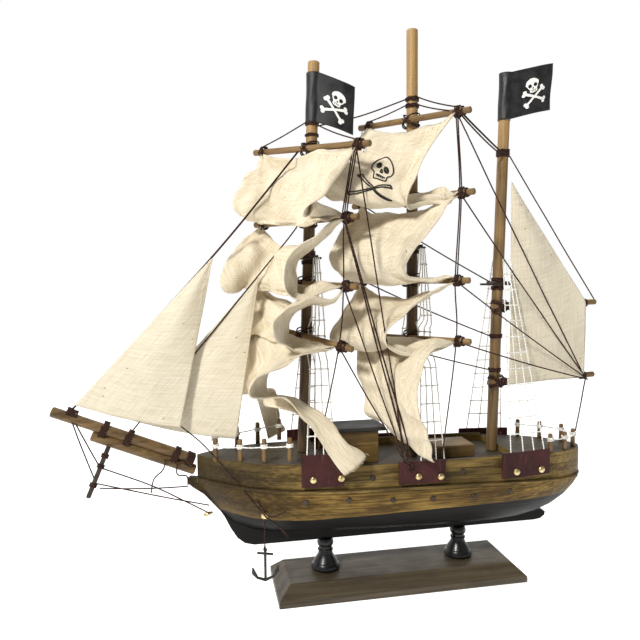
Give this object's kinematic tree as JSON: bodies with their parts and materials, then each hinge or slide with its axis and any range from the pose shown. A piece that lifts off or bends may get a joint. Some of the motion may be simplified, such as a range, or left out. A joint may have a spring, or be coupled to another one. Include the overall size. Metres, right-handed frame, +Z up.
{
  "type": "model sailing ship",
  "caption": "Decorative wooden sailing ship model with braced square canvas sails, jibs, a spanker, shroud nets, dark flags and a hanging anchor, on a bevelled base with turned pedestals.",
  "frame": {"origin": "centre of the stand base's underside, on the surface it stands on", "axes": "+Z up, -X towards the bow, -Y to port"},
  "size_m": [0.3794, 0.1025, 0.3825],
  "materials": {
    "hull_planks": "satin stained planks, black below the paint line",
    "keel_black": "satin black stain",
    "deck_wood": "matt grey-brown stain, golden-brown sides",
    "house_wood": "satin warm brown",
    "roof_wood": "matt dark grey stain",
    "spar_wood": "satin brown dowel with dark streaks",
    "base_wood": "satin grey-brown stain",
    "pedestal_black": "gloss black paint on turned wood",
    "channel_leather": "matt dark maroon",
    "brass": "worn bright",
    "canvas": "unbleached cream canvas with dark flecks",
    "flag_cloth": "black cloth with a white print",
    "cord_white": "white waxed cord",
    "cord_dark": "dark brown thread",
    "rail_wood": "satin warm brown posts with white cord",
    "anchor_metal": "dark blackened metal"
  },
  "bodies": {
    "ship": {"anchor_tack": "brass", "boom": "spar_wood", "bowsprit": "spar_wood", "bulwark_port": "hull_planks", "bulwark_starboard": "hull_planks", "channel_port_fore": "channel_leather", "channel_port_main": "channel_leather", "channel_port_mizzen": "channel_leather", "channel_starboard_fore": "channel_leather", "channel_starboard_main": "channel_leather", "channel_starboard_mizzen": "channel_leather", "deckhouse": "house_wood", "deckhouse_roof": "roof_wood", "dolphin_striker": "spar_wood", "fore_rail": "rail_wood", "fore_sail_1": "canvas", "fore_sail_2": "canvas", "fore_sail_3": "canvas", "fore_yard_1": "spar_wood", "fore_yard_2": "spar_wood", "fore_yard_3": "spar_wood", "fore_yard_4": "spar_wood", "forecastle_block": "deck_wood", "foremast": "spar_wood", "gaff": "spar_wood", "hatch_box": "house_wood", "hull_block": "hull_planks", "inner_jib": "canvas", "jib_boom": "spar_wood", "keel_board": "keel_black", "main_sail_1": "canvas", "main_sail_2": "canvas", "main_sail_3": "canvas", "main_yard_1": "spar_wood", "main_yard_2": "spar_wood", "main_yard_3": "spar_wood", "main_yard_4": "spar_wood", "mainmast": "spar_wood", "mizzenmast": "spar_wood", "outer_forestay": "cord_dark", "outer_jib": "canvas", "pedestal_aft": "pedestal_black", "pedestal_fore": "pedestal_black", "poop_block": "deck_wood", "shrouds_port_fore": "cord_white", "shrouds_port_main": "cord_white", "shrouds_port_mizzen": "cord_white", "shrouds_starboard_fore": "cord_white", "shrouds_starboard_main": "cord_white", "shrouds_starboard_mizzen": "cord_white", "spanker": "canvas", "stand_base": "base_wood", "stern_rail": "rail_wood", "waist_deck_block": "deck_wood", "wale_port": "hull_planks", "wale_starboard": "hull_planks"},
    "anchor_cord": {"anchor_cord": "cord_dark"},
    "anchor": {"anchor": "anchor_metal"},
    "flag_fore": {"flag_fore": "flag_cloth"},
    "flag_mizzen": {"flag_mizzen": "flag_cloth"}
  },
  "joints": [
    {"name": "anchor_cord_swing", "type": "hinge", "parent": "ship", "child": "anchor_cord", "pos_m": [-0.096, -0.02345, 0.0625], "axis": [0, 1, 0], "range_deg": [-30, 30]},
    {"name": "anchor_swing", "type": "hinge", "parent": "anchor_cord", "child": "anchor", "pos_m": [-0.096, -0.02345, 0.0415], "axis": [0, 1, 0], "range_deg": [-25, 25]},
    {"name": "flag_fore_turn", "type": "hinge", "parent": "ship", "child": "flag_fore", "pos_m": [-0.05729, 0, 0.333], "axis": [0.0385, 0, 0.9993], "continuous": true},
    {"name": "flag_mizzen_turn", "type": "hinge", "parent": "ship", "child": "flag_mizzen", "pos_m": [0.0807, 0, 0.34], "axis": [0.0318, 0, 0.9995], "continuous": true}
  ]
}
